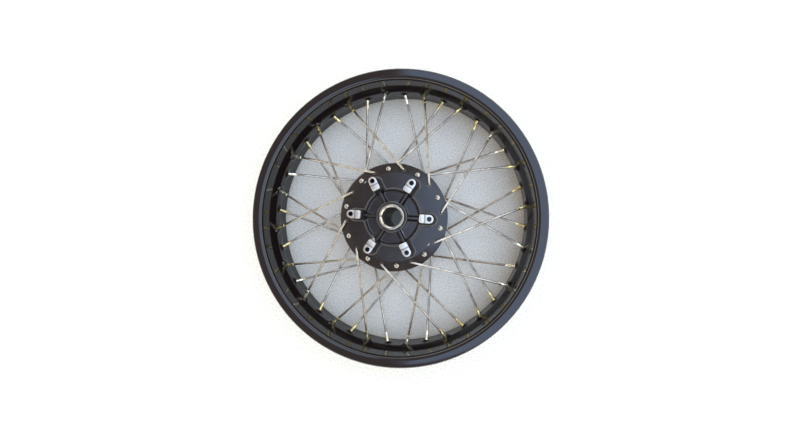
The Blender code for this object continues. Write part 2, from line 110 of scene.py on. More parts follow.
window_light = bpy.data.lights.new("window", "AREA")
window_light.shape = "RECTANGLE"
window_light.size, window_light.size_y = WINDOW_SIZE
window_light.energy = WINDOW_POWER
window_light.color = WINDOW_COLOUR
window = bpy.data.objects.new("window", window_light)
window.location = WINDOW_PLACE
bpy.context.scene.collection.objects.link(window)

# ---- Floor --------------------------------------------------------------------------------------
# A plain pale floor with the faint speckle of fine terrazzo.
FLOOR_HALF = 4.0
FLOOR_DROP = 0.0002
FLOOR_COLOUR = (0.805, 0.78, 0.67, 1)
FLOOR_SPECK = (0.605, 0.585, 0.505, 1)
FLOOR_SPECK_SCALE = 420.0
FLOOR_SPECK_DETAIL = 4.0
FLOOR_SPECK_RANGE = (0.40, 0.62)
FLOOR_ROUGHNESS = 0.6

floor_mesh = bpy.data.meshes.new("floor")
corners = [(-1, -1), (1, -1), (1, 1), (-1, 1)]
corners = [(x * FLOOR_HALF, y * FLOOR_HALF, -FLOOR_DROP) for x, y in corners]
floor_mesh.from_pydata(corners, [], [(0, 1, 2, 3)])
floor = bpy.data.objects.new("floor", floor_mesh)
bpy.context.scene.collection.objects.link(floor)
floor_finish = bpy.data.materials.new("floor")
floor_finish.use_nodes = True
tree = floor_finish.node_tree
place = add(tree, "ShaderNodeTexCoord")
specks = add(tree, "ShaderNodeTexNoise", {"Scale": FLOOR_SPECK_SCALE, "Detail": FLOOR_SPECK_DETAIL})
shade = add(tree, "ShaderNodeMix", data_type="RGBA")
shade.inputs[6].default_value = FLOOR_COLOUR
shade.inputs[7].default_value = FLOOR_SPECK
tree.links.new(place.outputs["Object"], specks.inputs["Vector"])
crisp = add(tree, "ShaderNodeMapRange")
crisp.inputs["From Min"].default_value, crisp.inputs["From Max"].default_value = FLOOR_SPECK_RANGE
tree.links.new(specks.outputs["Fac"], crisp.inputs["Value"])
tree.links.new(crisp.outputs["Result"], shade.inputs[0])
shader = tree.nodes["Principled BSDF"]
shader.inputs["Roughness"].default_value = FLOOR_ROUGHNESS
tree.links.new(shade.outputs[2], shader.inputs["Base Color"])
floor_mesh.materials.append(floor_finish)

# ---- Rim ----------------------------------------------------------------------------------------
# A rolled steel band with a shallow middle well and a rolled edge on each side, enamelled gloss
# black. Each nipple hole sits in a dimple pressed towards the hub and square to its spoke.
MIDDLE = 0.045
RIM_TURNS = 600
RIM_ROUNDING_STEPS = 3
RIM_CREASE = 50
RIM_RADIUS = 0.2325
WELL_INSIDE = 0.2093
WELL_WALL = 0.0030
WELL_HALF = 0.0073
DIMPLE_STEP = 0.0013
DIMPLE_REACH = 0.0165
DIMPLE_RISE = 0.0016
DIMPLE_FLAT = 0.0046
DIMPLE_EDGE = 0.0092
SPOKES_IN_SET = 10
SPOKE_PITCH = 36.0
LACING_TURN = 36.0
SPOKE_CIRCLE = 0.076
NIPPLE_ROW = 0.0045
ENAMEL = (0.0050, 0.0034, 0.0036, 1)
ENAMEL_DUST = (0.16, 0.14, 0.12, 1)
ENAMEL_WORN_EDGE_HIGHLIGHT = (0.030, 0.028, 0.028, 1)


def rounded(corners, steps=4):
    """A closed outline of (radius, height) whose corners are each rounded to their third number."""
    outline = []
    for number, (radius, level, fillet) in enumerate(corners):
        here = Vector((radius, level))
        before = Vector(corners[number - 1][:2]) - here
        after = Vector(corners[(number + 1) % len(corners)][:2]) - here
        if not fillet:
            outline.append(here)
            continue
        half = before.angle(after) / 2
        reach = min(fillet / tan(half), before.length * 0.49, after.length * 0.49)
        bend = reach * tan(half)
        centre = here + (before.normalized() + after.normalized()).normalized() * (bend / sin(half))
        start = here + before.normalized() * reach - centre
        end = here + after.normalized() * reach - centre
        for step in range(steps + 1):
            t = step / steps
            outline.append(centre + (start * (1 - t) + end * t).normalized() * bend)
    return outline


def finely(outline, step, half_height):
    """The outline with points no further apart than step within half_height of the middle."""
    fine = []
    for number, here in enumerate(outline):
        following = outline[(number + 1) % len(outline)]
        near = min(abs(here.y), abs(following.y)) < half_height
        parts = ceil((following - here).length / step) if near else 1
        fine += [here.lerp(following, part / parts) for part in range(parts)]
    return fine


def new_piece(name, mesh, finish, sharp=35.0):
    """An object with smooth faces and sharp creases, in the named finish."""
    mesh.materials.clear()
    mesh.materials.append(finish)
    mesh.shade_smooth()
    mesh.set_sharp_from_angle(angle=radians(sharp))
    piece = bpy.data.objects.new(name, mesh)
    bpy.context.scene.collection.objects.link(piece)
    return piece


def mesh_of(name, points, faces):
    mesh = bpy.data.meshes.new(name)
    mesh.from_pydata(points, [], faces)
    work = bmesh.new()
    work.from_mesh(mesh)
    bmesh.ops.recalc_face_normals(work, faces=work.faces)
    work.to_mesh(mesh)
    work.free()
    return mesh


def turned(name, outline, turns=128):
    """A closed outline of (radius, height) turned about the axle."""
    count = len(outline)
    points, faces = [], []
    for number in range(turns):
        angle = 2 * pi * number / turns
        points += [(p.x * cos(angle), p.x * sin(angle), p.y + MIDDLE) for p in outline]
        here, following = number * count, (number + 1) % turns * count
        for low in range(count):
            high = (low + 1) % count
            faces.append((here + low, here + high, following + high, following + low))
    return mesh_of(name, points, faces)


def shader_group(name, inputs, outputs):
    """An empty shader group with its sockets, and its input and output nodes."""
    group = bpy.data.node_groups.new(name, "ShaderNodeTree")
    for label, kind, value in inputs:
        socket = group.interface.new_socket(label, in_out="INPUT", socket_type=kind)
        socket.default_value = value
    for label, kind in outputs:
        group.interface.new_socket(label, in_out="OUTPUT", socket_type=kind)
    return group, group.nodes.new("NodeGroupInput"), group.nodes.new("NodeGroupOutput")


COLOUR, NUMBER, DIRECTION = "NodeSocketColor", "NodeSocketFloat", "NodeSocketVector"


def mix_colours(group, mask, first, second):
    """A mix of two colour outputs by a mask output."""
    mix = add(group, "ShaderNodeMix", data_type="RGBA")
    group.links.new(mask, mix.inputs[0])
    group.links.new(first, mix.inputs[6])
    group.links.new(second, mix.inputs[7])
    return mix.outputs[2]


def spread(group, value, low, high, least, most, smooth=False):
    """The value mapped from low..high to least..most. Any of the four may be an output."""
    node = add(group, "ShaderNodeMapRange")
    if smooth:
        node.interpolation_type = "SMOOTHSTEP"
    group.links.new(value, node.inputs["Value"])
    for label, setting in zip(("From Min", "From Max", "To Min", "To Max"), (low, high, least, most)):
        if isinstance(setting, (int, float)):
            node.inputs[label].default_value = setting
        else:
            group.links.new(setting, node.inputs[label])
    return node.outputs["Result"]


def noise(group, scale, detail=3.0, rough=0.5):
    """Noise fixed to the piece. Scale is a number or an output."""
    where = add(group, "ShaderNodeTexCoord")
    texture = add(group, "ShaderNodeTexNoise", {"Detail": detail, "Roughness": rough})
    group.links.new(where.outputs["Object"], texture.inputs["Vector"])
    if isinstance(scale, (int, float)):
        texture.inputs["Scale"].default_value = scale
    else:
        group.links.new(scale, texture.inputs["Scale"])
    return texture.outputs["Fac"]


def bump(group, value, strength, distance):
    node = add(group, "ShaderNodeBump", {"Distance": distance})
    group.links.new(value, node.inputs["Height"])
    group.links.new(strength, node.inputs["Strength"])
    return node.outputs["Normal"]


# Paint: a film with fine grain, patches of handling marks, dust in the still places, and along
# the edges a slightly lighter film that is partly rubbed paint and partly a painted highlight.
PATCH_SCALE, PATCH_DETAIL, PATCH_GAIN = 22.0, 5.0, 0.6
MOTE_SCALE, MOTE_DETAIL = 900.0, 2.0
GRAIN_DETAIL = 2.0
GRAIN_DEPTH = 0.0004
MOTE_RANGE = (0.55, 0.75)
PATCH_RANGE = (0.35, 0.75)
WORN_EDGE_HIGHLIGHT_RANGE = (0.515, 0.57)
FILM_RANGE = (0.3, 0.7)
painted, asked, given = shader_group(
    "painted_surface",
    [
        ("Paint", COLOUR, ENAMEL), ("Dust", COLOUR, ENAMEL_DUST), ("Dust amount", NUMBER, 0.1),
        ("Edge", COLOUR, ENAMEL_WORN_EDGE_HIGHLIGHT), ("Edge amount", NUMBER, 0.5),
        ("Least roughness", NUMBER, 0.1), ("Most roughness", NUMBER, 0.3),
        ("Grain size", NUMBER, 500.0), ("Grain height", NUMBER, 0.1),
    ],
    [("Colour", COLOUR), ("Roughness", NUMBER), ("Normal", DIRECTION)],
)
patches = noise(painted, PATCH_SCALE, PATCH_DETAIL, PATCH_GAIN)
motes = noise(painted, MOTE_SCALE, MOTE_DETAIL)
mote_mask = spread(painted, motes, *MOTE_RANGE, 0.0, asked.outputs["Dust amount"], True)
patch_mask = spread(painted, patches, *PATCH_RANGE, 0.0, 1.0, True)
mote_patches = add(painted, "ShaderNodeMath", operation="MULTIPLY")
painted.links.new(mote_mask, mote_patches.inputs[0])
painted.links.new(patch_mask, mote_patches.inputs[1])
# Convex edges get a lighter colour: partly rubbed paint, partly a painted highlight.
edges = add(painted, "ShaderNodeNewGeometry").outputs["Pointiness"]
worn_edge_highlight_mask = spread(painted, edges, *WORN_EDGE_HIGHLIGHT_RANGE, 0.0, asked.outputs["Edge amount"], True)
rubbed_and_highlighted = mix_colours(painted, worn_edge_highlight_mask, asked.outputs["Paint"], asked.outputs["Edge"])
dusted = mix_colours(painted, mote_patches.outputs[0], rubbed_and_highlighted, asked.outputs["Dust"])
painted.links.new(dusted, given.inputs["Colour"])
film_limits = (asked.outputs["Least roughness"], asked.outputs["Most roughness"])
painted.links.new(spread(painted, patches, *FILM_RANGE, *film_limits), given.inputs["Roughness"])
grain = noise(painted, asked.outputs["Grain size"], GRAIN_DETAIL)
grain_normal = bump(painted, grain, asked.outputs["Grain height"], GRAIN_DEPTH)
painted.links.new(grain_normal, given.inputs["Normal"])


def finish_from(name, group, values, **constants):
    """A material whose colour, roughness and normal come from a shader group with these values."""
    finish = bpy.data.materials.new(name)
    finish.use_nodes = True
    tree = finish.node_tree
    effect = add(tree, "ShaderNodeGroup", node_tree=group)
    for label, value in values.items():
        effect.inputs[label].default_value = value
    shader = tree.nodes["Principled BSDF"]
    for label, value in constants.items():
        shader.inputs[label.replace("_", " ")].default_value = value
    tree.links.new(effect.outputs["Colour"], shader.inputs["Base Color"])
    tree.links.new(effect.outputs["Roughness"], shader.inputs["Roughness"])
    tree.links.new(effect.outputs["Normal"], shader.inputs["Normal"])
    return finish


# The enamel's lighter edges are partly rubbed paint and partly a painted highlight.
black_enamel = finish_from(
    "black_enamel", painted,
    {
        "Paint": ENAMEL, "Dust": ENAMEL_DUST, "Dust amount": 0.12, "Edge": ENAMEL_WORN_EDGE_HIGHLIGHT,
        "Edge amount": 0.6, "Least roughness": 0.05, "Most roughness": 0.15,
        "Grain size": 350.0, "Grain height": 0.04,
    },
)

# Ten like spokes make a set: which flange they leave, on which face, where, and which way they run.
SPOKE_SETS = {
    "near_outer": {"side": 1, "outside": True, "hub_angle": 4.5, "turn": LACING_TURN},
    "near_inner": {"side": 1, "outside": False, "hub_angle": 22.5, "turn": -LACING_TURN},
    "far_outer": {"side": -1, "outside": True, "hub_angle": 13.5, "turn": LACING_TURN},
    "far_inner": {"side": -1, "outside": False, "hub_angle": 31.5, "turn": -LACING_TURN},
}
FLANGE_RADIUS = 0.0856
FLANGE_TOP = 0.0385
FLANGE_BOTTOM = 0.0334
FLANGE_EDGE_TOP = 0.0340
FLANGE_EDGE_BOTTOM = 0.0306
CONE_START = 0.0700
SPOKE_RADIUS = 0.00180
SPOKE_HOLE = 0.0025
HEAD_RADIUS = 0.0037
HEAD_HEIGHT = 0.0022
GAP = 0.0003
for spokes in SPOKE_SETS.values():
    across = FLANGE_RADIUS - CONE_START
    top_slope = (FLANGE_TOP - FLANGE_EDGE_TOP) / across
    bottom_slope = (FLANGE_BOTTOM - FLANGE_EDGE_BOTTOM) / across
    top = FLANGE_TOP - top_slope * (SPOKE_CIRCLE - CONE_START)
    bottom = FLANGE_BOTTOM - bottom_slope * (SPOKE_CIRCLE - CONE_START)
    lay = GAP + SPOKE_RADIUS + SPOKE_HOLE * top_slope
    if spokes["outside"]:
        run, head = top + lay, bottom - GAP - HEAD_RADIUS * bottom_slope
    else:
        run, head = bottom - lay, top + GAP + HEAD_RADIUS * top_slope
    spokes["elbow"] = Vector((SPOKE_CIRCLE, 0, spokes["side"] * run))
    spokes["head"] = spokes["side"] * head
    swing = radians(spokes["turn"])
    spokes["seat"] = Vector((
        WELL_INSIDE * cos(swing), WELL_INSIDE * sin(swing), spokes["side"] * NIPPLE_ROW,
    ))
    spokes["way"] = (spokes["seat"] - spokes["elbow"]).normalized()
    spokes["angles"] = [spokes["hub_angle"] + SPOKE_PITCH * n for n in range(SPOKES_IN_SET)]


def with_dimples(mesh):
    """Presses the wall towards the hub round each nipple, square to its spoke."""
    seats = []
    for spokes in SPOKE_SETS.values():
        back = Matrix.Rotation(-radians(spokes["turn"]), 3, "Z") @ spokes["way"]
        for angle in spokes["angles"]:
            seats.append(((angle + spokes["turn"]) % 360, spokes["seat"].z, back))
    seats.sort(key=lambda seat: seat[0])
    pitch = 360 / len(seats)
    first = seats[0][0]
    for vertex in mesh.vertices:
        level = vertex.co.z - MIDDLE
        if abs(level) > DIMPLE_REACH:
            continue
        radius = vertex.co.xy.length
        angle = degrees(atan2(vertex.co.y, vertex.co.x)) % 360
        seat_angle, row, back = seats[round((angle - first) / pitch) % len(seats)]
        offset = (angle - seat_angle + 180) % 360 - 180
        along = radians(offset) * WELL_INSIDE
        above = level - row
        share = (DIMPLE_EDGE - Vector((along, above)).length) / (DIMPLE_EDGE - DIMPLE_FLAT)
        share = min(max(share, 0.0), 1.0)
        share = share * share * (3 - 2 * share)
        move = -share * (DIMPLE_RISE + (back.y * along + back.z * above) / back.x)
        vertex.co.xy *= (radius + move) / radius
    return mesh


# The upper half of the rim's section as (radius, height, fillet): the inner face from the well up
# to the edge, the edge's face and outer curl, then the bead seat back down to the well.
RIM_HALF_CORNERS = [
    (WELL_INSIDE, WELL_HALF, 0.004), (0.2153, 0.0206, 0.005), (0.2149, 0.0400, 0.004),
    (0.21657, 0.04333, 0.004), (0.2199, 0.0450, 0.004), (0.2302, 0.0450, 0.0016),
    (RIM_RADIUS, 0.0427, 0.0014), (0.2302, 0.0390, 0.0010), (0.2213, 0.03775, 0.0020),
    (0.2188, 0.0365, 0.0020), (0.2183, 0.0216, 0.006),
    (WELL_INSIDE + WELL_WALL, WELL_HALF + 0.001, 0.006),
]
rim_corners = [(r, -h, f) for r, h, f in RIM_HALF_CORNERS[::-1]] + RIM_HALF_CORNERS
rim_outline = finely(rounded(rim_corners, RIM_ROUNDING_STEPS), DIMPLE_STEP, DIMPLE_REACH)
rim_mesh = with_dimples(turned("rim_band", rim_outline, RIM_TURNS))
rim = new_piece("rim_band", rim_mesh, black_enamel, RIM_CREASE)
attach(rim, "wheel")
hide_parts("rim")

# ---- Hub ----------------------------------------------------------------------------------------
# An aluminium casting with two spoke flanges on one barrel, painted satin black. Six tall posts
# for the brake disc stand on the near flange, and a thin rib ties each of them to the boss.
BARREL_RADIUS = 0.0310
BARREL_FLARE = 0.006
BARREL_INSIDE = 0.0240
BARREL_INSIDE_MARGIN = 0.009
DRUM_RADIUS = 0.0450
DRUM_WALL = 0.0030
DRUM_TOP = 0.0430
FAR_DRUM_TOP = -0.0410
DRUM_LEAN = 0.0004
DRUM_FOOT = 0.0006
BOSS_RADIUS = 0.0237
BOSS_END = 0.0500
FAR_BOSS_END = -0.0440
BEARING_SEAT = 0.0213
NEAR_SHOULDER = 0.0350
FAR_SHOULDER = -0.0300
SHOULDER_BORE = 0.0186
SHOULDER_DEPTH = 0.004
CAST_FILLET = 0.006
BOSS_FILLET = 0.0020
FLANGE_FILLET = 0.0009
LUG_ANGLES = [-4.5 + 60 * number for number in range(6)]
LUG_CIRCLE = 0.0588
LUG_INNER_END = 0.0440
LUG_HALF = 0.0062
LUG_TOP = 0.0700
LUG_STEP = 0.0015
LUG_STEP_END = 0.0512
LUG_CORNER = 0.0022
LUG_CORNER_STEPS = 4
LUG_ARC_STEPS = 20
POST_FOOT = 0.0034
POST_LIP = 0.0003
POST_DRAFT = 0.0020
PAD_DEPTH = 0.0010
TAPPED_RADIUS = 0.0034
TAPPED_DEPTH = 0.0220
TAPPED_OVERRUN = 0.003
RIB_START = 0.0222
RIB_LAP = 0.0022
RIB_TOP = 0.0480
RIB_HALF = 0.0022
RIB_FOOT = 0.0034
RIB_LIP = 0.0011
RIB_DRAFT = 0.0004
RIB_SUNK = 0.0009
HUB_TURNS = 200
HUB_STEP = 0.0022
HUB_CREASE = 30
DRILL_HALF = 0.008
DRILL_SIDES = 16
BAR_END = 0.001
SATIN = (0.0075, 0.0052, 0.0042, 1)
SATIN_DUST = (0.20, 0.18, 0.16, 1)
SATIN_EDGE_HIGHLIGHT = (0.32, 0.31, 0.30, 1)


def lug_outline(grow, straight_end=None):
    """A post seen from its top: squared with small corners towards the boss, round outwards."""
    half, back = LUG_HALF + grow, LUG_INNER_END - grow
    soft = LUG_CORNER
    bends = [pi / 2 * step / LUG_CORNER_STEPS for step in range(LUG_CORNER_STEPS + 1)]
    points = [(back + soft - soft * sin(b), half - soft + soft * cos(b)) for b in bends]
    points += [(back + soft - soft * cos(b), soft - half - soft * sin(b)) for b in bends]
    if straight_end:
        return points + [(straight_end, -half), (straight_end, half)]
    for step in range(LUG_ARC_STEPS + 1):
        bend = pi * step / LUG_ARC_STEPS - pi / 2
        points.append((LUG_CIRCLE + half * cos(bend), half * sin(bend)))
    return points


def rib_outline(grow):
    half = RIB_HALF + grow
    outer_end = LUG_INNER_END + RIB_LAP
    return [(RIB_START, half), (RIB_START, -half), (outer_end, -half), (outer_end, half)]


def end_faces(points, sides):
    """The two faces that close a solid made of rings with this many sides."""
    return [tuple(range(sides)), tuple(range(points - 1, points - 1 - sides, -1))]


def standing(name, outline, base, top, foot, lip, draft=0.0, sunk=0.0006):
    """A solid that rises from base to top with a flared foot, a slight taper and a rounded lip."""
    foot_bends = [radians(bend) for bend in (12, 25, 40, 55, 70, 90)]
    lip_bends = [radians(bend) for bend in (0, 30, 60, 90)]
    levels = [(base - sunk, foot * (1 - sin(foot_bends[0])) + draft)]
    levels += [(base + foot * (1 - cos(b)), foot * (1 - sin(b)) + draft) for b in foot_bends]
    levels += [(top - lip * (1 - sin(b)), -lip * (1 - cos(b))) for b in lip_bends]
    points, faces = [], []
    for number, (level, grow) in enumerate(levels):
        ring = outline(grow)
        count = len(ring)
        points += [(x, y, level + MIDDLE) for x, y in ring]
        if number:
            low, high = (number - 1) * count, number * count
            for side in range(count):
                following = (side + 1) % count
                faces.append((low + side, low + following, high + following, high + side))
    return mesh_of(name, points, faces + end_faces(len(points), count))


def round_bar(name, radius, low, high, sides=24, mouth=0.0):
    """A round bar along the axle's way from low to high, opened out by mouth near its upper end."""
    wide = radius + mouth
    opened = high - BAR_END
    rings = [(low, radius), (opened - 2 * mouth, radius), (opened, wide), (high, wide)]
    points, faces = [], []
    for number, (level, size) in enumerate(rings):
        for side in range(sides):
            angle = 2 * pi * side / sides
            points.append((size * cos(angle), size * sin(angle), level + MIDDLE))
            if number:
                here, following = number * sides + side, number * sides + (side + 1) % sides
                faces.append((here - sides, following - sides, following, here))
    return mesh_of(name, points, faces + end_faces(len(points), sides))


def spun(mesh, angles, shift=0.0):
    """One mesh with a copy at each angle about the axle, first moved outwards by shift."""
    work = bmesh.new()
    for angle in angles:
        first = len(work.verts)
        work.from_mesh(mesh)
        work.verts.ensure_lookup_table()
        move = Matrix.Rotation(radians(angle), 4, "Z") @ Matrix.Translation((shift, 0, 0))
        bmesh.ops.transform(work, matrix=move, verts=work.verts[first:])
    result = bpy.data.meshes.new(mesh.name)
    work.to_mesh(result)
    work.free()
    bpy.data.meshes.remove(mesh)
    return result


def combined(mesh, steps):
    """The mesh after each (operation, other mesh) in turn, as exact solids."""
    body = bpy.data.objects.new("work", mesh)
    bpy.context.scene.collection.objects.link(body)
    others = []
    for operation, other in steps:
        tool = bpy.data.objects.new("tool", other)
        bpy.context.scene.collection.objects.link(tool)
        change = body.modifiers.new(operation.lower(), "BOOLEAN")
        change.operation = operation
        change.solver = "EXACT"
        change.object = tool
        others.append(tool)
    bpy.context.view_layer.update()
    graph = bpy.context.evaluated_depsgraph_get()
    result = bpy.data.meshes.new_from_object(body.evaluated_get(graph), depsgraph=graph)
    for used in [body, *others]:
        spent = used.data
        bpy.data.objects.remove(used)
        bpy.data.meshes.remove(spent)
    return result


drum_inside = DRUM_RADIUS - DRUM_WALL
drum_foot = DRUM_RADIUS + DRUM_FOOT
flare = BARREL_RADIUS + BARREL_FLARE
hub_corners = [
    (BOSS_RADIUS, BOSS_END, 0.0010), (BOSS_RADIUS, FLANGE_TOP, BOSS_FILLET),
    (drum_inside, FLANGE_TOP, 0.0022), (drum_inside + DRUM_LEAN, DRUM_TOP, 0.0007),
    (DRUM_RADIUS, DRUM_TOP, 0.0009), (drum_foot, FLANGE_TOP, 0.0018),
    (CONE_START, FLANGE_TOP, 0.002), (FLANGE_RADIUS, FLANGE_EDGE_TOP, FLANGE_FILLET),
    (FLANGE_RADIUS, FLANGE_EDGE_BOTTOM, FLANGE_FILLET), (CONE_START, FLANGE_BOTTOM, CAST_FILLET),
    (flare, FLANGE_BOTTOM, CAST_FILLET), (BARREL_RADIUS, FLANGE_BOTTOM - BARREL_FLARE, CAST_FILLET),
    (BARREL_RADIUS, BARREL_FLARE - FLANGE_BOTTOM, CAST_FILLET), (flare, -FLANGE_BOTTOM, CAST_FILLET),
    (CONE_START, -FLANGE_BOTTOM, CAST_FILLET), (FLANGE_RADIUS, -FLANGE_EDGE_BOTTOM, FLANGE_FILLET),
    (FLANGE_RADIUS, -FLANGE_EDGE_TOP, FLANGE_FILLET), (CONE_START, -FLANGE_TOP, CAST_FILLET),
    (drum_foot, -FLANGE_TOP, 0.0018), (DRUM_RADIUS, FAR_DRUM_TOP, 0.0009),
    (drum_inside, FAR_DRUM_TOP, 0.0007), (drum_inside, -FLANGE_TOP, 0.0012),
    (BOSS_RADIUS, -FLANGE_TOP, BOSS_FILLET), (BOSS_RADIUS, FAR_BOSS_END, 0.0010),
    (BEARING_SEAT, FAR_BOSS_END, 0.0004), (BEARING_SEAT, FAR_SHOULDER, 0),
    (SHOULDER_BORE, FAR_SHOULDER, 0), (SHOULDER_BORE, FAR_SHOULDER + SHOULDER_DEPTH, 0.001),
    (BARREL_INSIDE, FAR_SHOULDER + BARREL_INSIDE_MARGIN, 0.003),
    (BARREL_INSIDE, NEAR_SHOULDER - BARREL_INSIDE_MARGIN, 0.003),
    (SHOULDER_BORE, NEAR_SHOULDER - SHOULDER_DEPTH, 0.001), (SHOULDER_BORE, NEAR_SHOULDER, 0),
    (BEARING_SEAT, NEAR_SHOULDER, 0), (BEARING_SEAT, BOSS_END, 0.0004),
]
hub_outline = finely(rounded(hub_corners), HUB_STEP, FLANGE_TOP + GAP)
hub_body = turned("hub_casting", hub_outline, HUB_TURNS)
pad_base_level = LUG_TOP - PAD_DEPTH
post = standing("posts", lug_outline, FLANGE_TOP, pad_base_level, POST_FOOT, POST_LIP, POST_DRAFT)
rib = standing("ribs", rib_outline, FLANGE_TOP, RIB_TOP, RIB_FOOT, RIB_LIP, RIB_DRAFT, RIB_SUNK)
tapped = round_bar("tapped", TAPPED_RADIUS, LUG_TOP - TAPPED_DEPTH, LUG_TOP + TAPPED_OVERRUN)
steps = [
    ("UNION", spun(post, LUG_ANGLES)), ("UNION", spun(rib, LUG_ANGLES)),
    ("DIFFERENCE", spun(tapped, LUG_ANGLES, LUG_CIRCLE)),
]
for side in (1, -1):
    angles = []
    for spokes in SPOKE_SETS.values():
        if spokes["side"] == side:
            angles += spokes["angles"]
    middle = side * (FLANGE_TOP + FLANGE_EDGE_BOTTOM) / 2
    drilled = round_bar("drilled", SPOKE_HOLE, middle - DRILL_HALF, middle + DRILL_HALF, DRILL_SIDES)
    steps.append(("DIFFERENCE", spun(drilled, angles, SPOKE_CIRCLE)))
# The bright edge colour on the hub is a painted highlight: thin light lines along rib, post and ring
# edges.
black_satin = finish_from(
    "black_satin", painted,
    {
        "Paint": SATIN, "Dust": SATIN_DUST, "Dust amount": 0.22, "Edge": SATIN_EDGE_HIGHLIGHT,
        "Edge amount": 1.0, "Least roughness": 0.15, "Most roughness": 0.28,
        "Grain size": 900.0, "Grain height": 0.16,
    },
)
hub = new_piece("hub_casting", combined(hub_body, steps), black_satin, HUB_CREASE)
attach(hub, "wheel")
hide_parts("hub")

# ---- Disc pads ----------------------------------------------------------------------------------
# The top of each post is milled bright so that the brake disc sits true. The third nearest the
# boss is left a step higher to centre the disc, and a bolt hole is tapped near the round end.
ALUMINIUM = (0.56, 0.545, 0.49, 1)
ALUMINIUM_DULL = (0.37, 0.355, 0.32, 1)
STEP_SHADE = (0.17, 0.165, 0.15, 1)
STEP_SHADE_WIDTH = 0.0026
STEP_SHADE_START_BLEND = 0.0004
STEP_SHADE_END_BLEND = 0.0008
STEP_SHADE_AMOUNT = 0.75
PAD_INSET = 0.0001
PAD_LIP = 0.0003
STEP_INSET = 0.0004
PAD_HOLE_DEPTH = 0.004
PAD_HOLE_MOUTH = 0.0003
PAD_CREASE = 30

# Bare metal: fine tool marks or drawing marks, patches where the surface has gone dull, and a
# darker colour in the creases.
DULL_DETAIL, DULL_GAIN = 4.0, 0.6
DULL_RANGE = (0.35, 0.7)
CREASE_RANGE = (0.48, 0.40)
SHEEN_RANGE = (0.3, 0.7)
MARK_DETAIL = 2.0
MARK_DEPTH = 0.0003
CREASE_DARKENING = (0.03, 0.025, 0.02, 1)
metal, asked, given = shader_group(
    "bare_metal",
    [
        ("Metal", COLOUR, ALUMINIUM), ("Dull", COLOUR, ALUMINIUM_DULL), ("Dull amount", NUMBER, 0.3),
        ("Patch size", NUMBER, 120.0), ("Least roughness", NUMBER, 0.2), ("Most roughness", NUMBER, 0.4),
        ("Mark size", NUMBER, 1500.0), ("Mark height", NUMBER, 0.1),
        ("Crease darkening", COLOUR, CREASE_DARKENING), ("Dirt amount", NUMBER, 0.8),
    ],
    [("Colour", COLOUR), ("Roughness", NUMBER), ("Normal", DIRECTION)],
)
patches = noise(metal, asked.outputs["Patch size"], DULL_DETAIL, DULL_GAIN)
dull_mask = spread(metal, patches, *DULL_RANGE, 0.0, asked.outputs["Dull amount"], True)
worn = mix_colours(metal, dull_mask, asked.outputs["Metal"], asked.outputs["Dull"])
# Concave creases are coloured darker, towards near black.
creases = add(metal, "ShaderNodeNewGeometry").outputs["Pointiness"]
crease_mask = spread(metal, creases, *CREASE_RANGE, 0.0, asked.outputs["Dirt amount"], True)
metal.links.new(mix_colours(metal, crease_mask, worn, asked.outputs["Crease darkening"]), given.inputs["Colour"])
sheen_limits = (asked.outputs["Least roughness"], asked.outputs["Most roughness"])
metal.links.new(spread(metal, patches, *SHEEN_RANGE, *sheen_limits), given.inputs["Roughness"])
marks = noise(metal, asked.outputs["Mark size"], MARK_DETAIL)
mark_normal = bump(metal, marks, asked.outputs["Mark height"], MARK_DEPTH)
metal.links.new(mark_normal, given.inputs["Normal"])

milled = finish_from(
    "milled_aluminium", metal,
    {
        "Metal": ALUMINIUM, "Dull": ALUMINIUM_DULL, "Dull amount": 0.35, "Patch size": 260.0,
        "Least roughness": 0.28, "Most roughness": 0.45, "Mark size": 2200.0, "Mark height": 0.20,
    },
    Metallic=1.0,
)
# Just outside the step the pad is painted darker: a painted shadow standing for the shade in the groove
# beside the step.
tree = milled.node_tree
where = add(tree, "ShaderNodeTexCoord")
along = add(tree, "ShaderNodeSeparateXYZ")
tree.links.new(where.outputs["Object"], along.inputs[0])
outwards = along.outputs["X"]
step_shade_end = LUG_STEP_END + STEP_SHADE_WIDTH
past_step = spread(
    tree, outwards, LUG_STEP_END - STEP_SHADE_START_BLEND, LUG_STEP_END, 0.0, STEP_SHADE_AMOUNT, True,
)
short_of_flat = spread(tree, outwards, step_shade_end - STEP_SHADE_END_BLEND, step_shade_end, 1.0, 0.0, True)
band = add(tree, "ShaderNodeMath", operation="MULTIPLY")
tree.links.new(past_step, band.inputs[0])
tree.links.new(short_of_flat, band.inputs[1])
step_shade = add(tree, "ShaderNodeRGB")
step_shade.outputs[0].default_value = STEP_SHADE
shader = tree.nodes["Principled BSDF"]
bright = shader.inputs["Base Color"].links[0].from_socket
tree.links.new(mix_colours(tree, band.outputs[0], bright, step_shade.outputs[0]), shader.inputs["Base Color"])


def pad_outline(grow):
    return lug_outline(grow - PAD_INSET)


def step_outline(grow):
    return lug_outline(grow - STEP_INSET, LUG_STEP_END + grow)


pad_base = standing("pad", pad_outline, pad_base_level, LUG_TOP, 0.0, PAD_LIP, sunk=0.0)
pad_step = standing("step", step_outline, LUG_TOP, LUG_TOP + LUG_STEP, 0.0, PAD_LIP)
pad_hole = round_bar(
    "hole", TAPPED_RADIUS, LUG_TOP - PAD_HOLE_DEPTH, LUG_TOP + BAR_END, mouth=PAD_HOLE_MOUTH,
)
pad_cuts = [("UNION", pad_step), ("DIFFERENCE", spun(pad_hole, [0], LUG_CIRCLE))]
pad_mesh = combined(pad_base, pad_cuts)
for number, angle in enumerate(LUG_ANGLES):
    pad = new_piece(f"disc_pad_{number + 1}", pad_mesh, milled, PAD_CREASE)
    pad.matrix_world = Matrix.Rotation(radians(angle), 4, "Z")
    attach(pad, "wheel")

